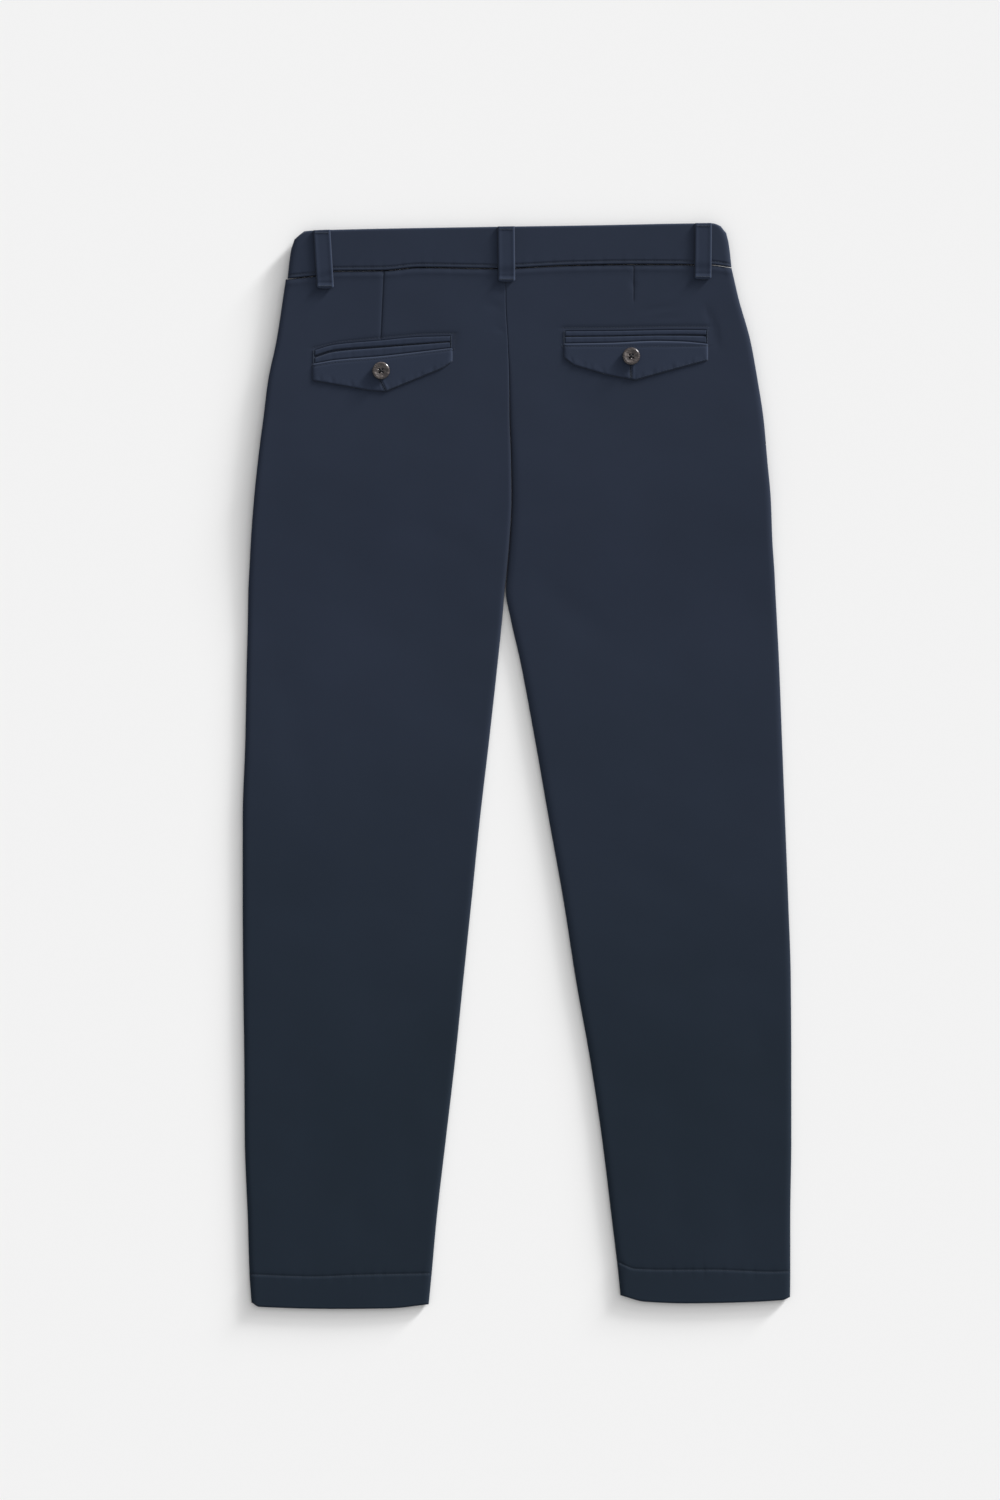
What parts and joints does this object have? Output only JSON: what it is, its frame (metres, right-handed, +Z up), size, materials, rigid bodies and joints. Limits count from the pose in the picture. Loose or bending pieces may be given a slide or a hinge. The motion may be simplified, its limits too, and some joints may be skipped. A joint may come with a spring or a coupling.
{
  "type": "chino trousers",
  "caption": "Navy cotton-twill chino trousers laid flat, back side up: tapered legs, belt-looped waistband, buttoned welt pockets, slanted front pockets and closed fly.",
  "frame": {"origin": "Middle of the outline seen from above, on the surface that the trousers lie on (bottom centre of the bounding box).", "axes": "+Y from the hems to the waist, +X to the wearer's right, which is the picture's right as the back faces up, +Z up from the surface."},
  "size_m": [0.532, 1.0519, 0.0118],
  "materials": {
    "navy_twill": "matt cotton twill, garment-dyed",
    "horn_button": "glossy dark marbled horn look"
  },
  "bodies": {
    "root": {"back_left": "navy_twill", "back_right": "navy_twill", "front_left": "navy_twill", "front_right": "navy_twill", "waistband_back": "navy_twill", "waistband_front_left": "navy_twill", "waistband_front_right": "navy_twill", "belt_loop_back_centre": "navy_twill", "belt_loop_back_left": "navy_twill", "belt_loop_back_right": "navy_twill", "belt_loop_front_left": "navy_twill", "belt_loop_front_right": "navy_twill", "front_pocket_facing_left": "navy_twill", "front_pocket_facing_right": "navy_twill", "pocket_jet_upper_left": "navy_twill", "pocket_jet_upper_right": "navy_twill", "pocket_jet_lower_left": "navy_twill", "pocket_jet_lower_right": "navy_twill", "pocket_patch_left": "navy_twill", "pocket_patch_right": "navy_twill", "fly": "navy_twill", "pocket_button_left": "horn_button", "pocket_button_right": "horn_button", "waist_button": "horn_button"}
  },
  "joints": []
}
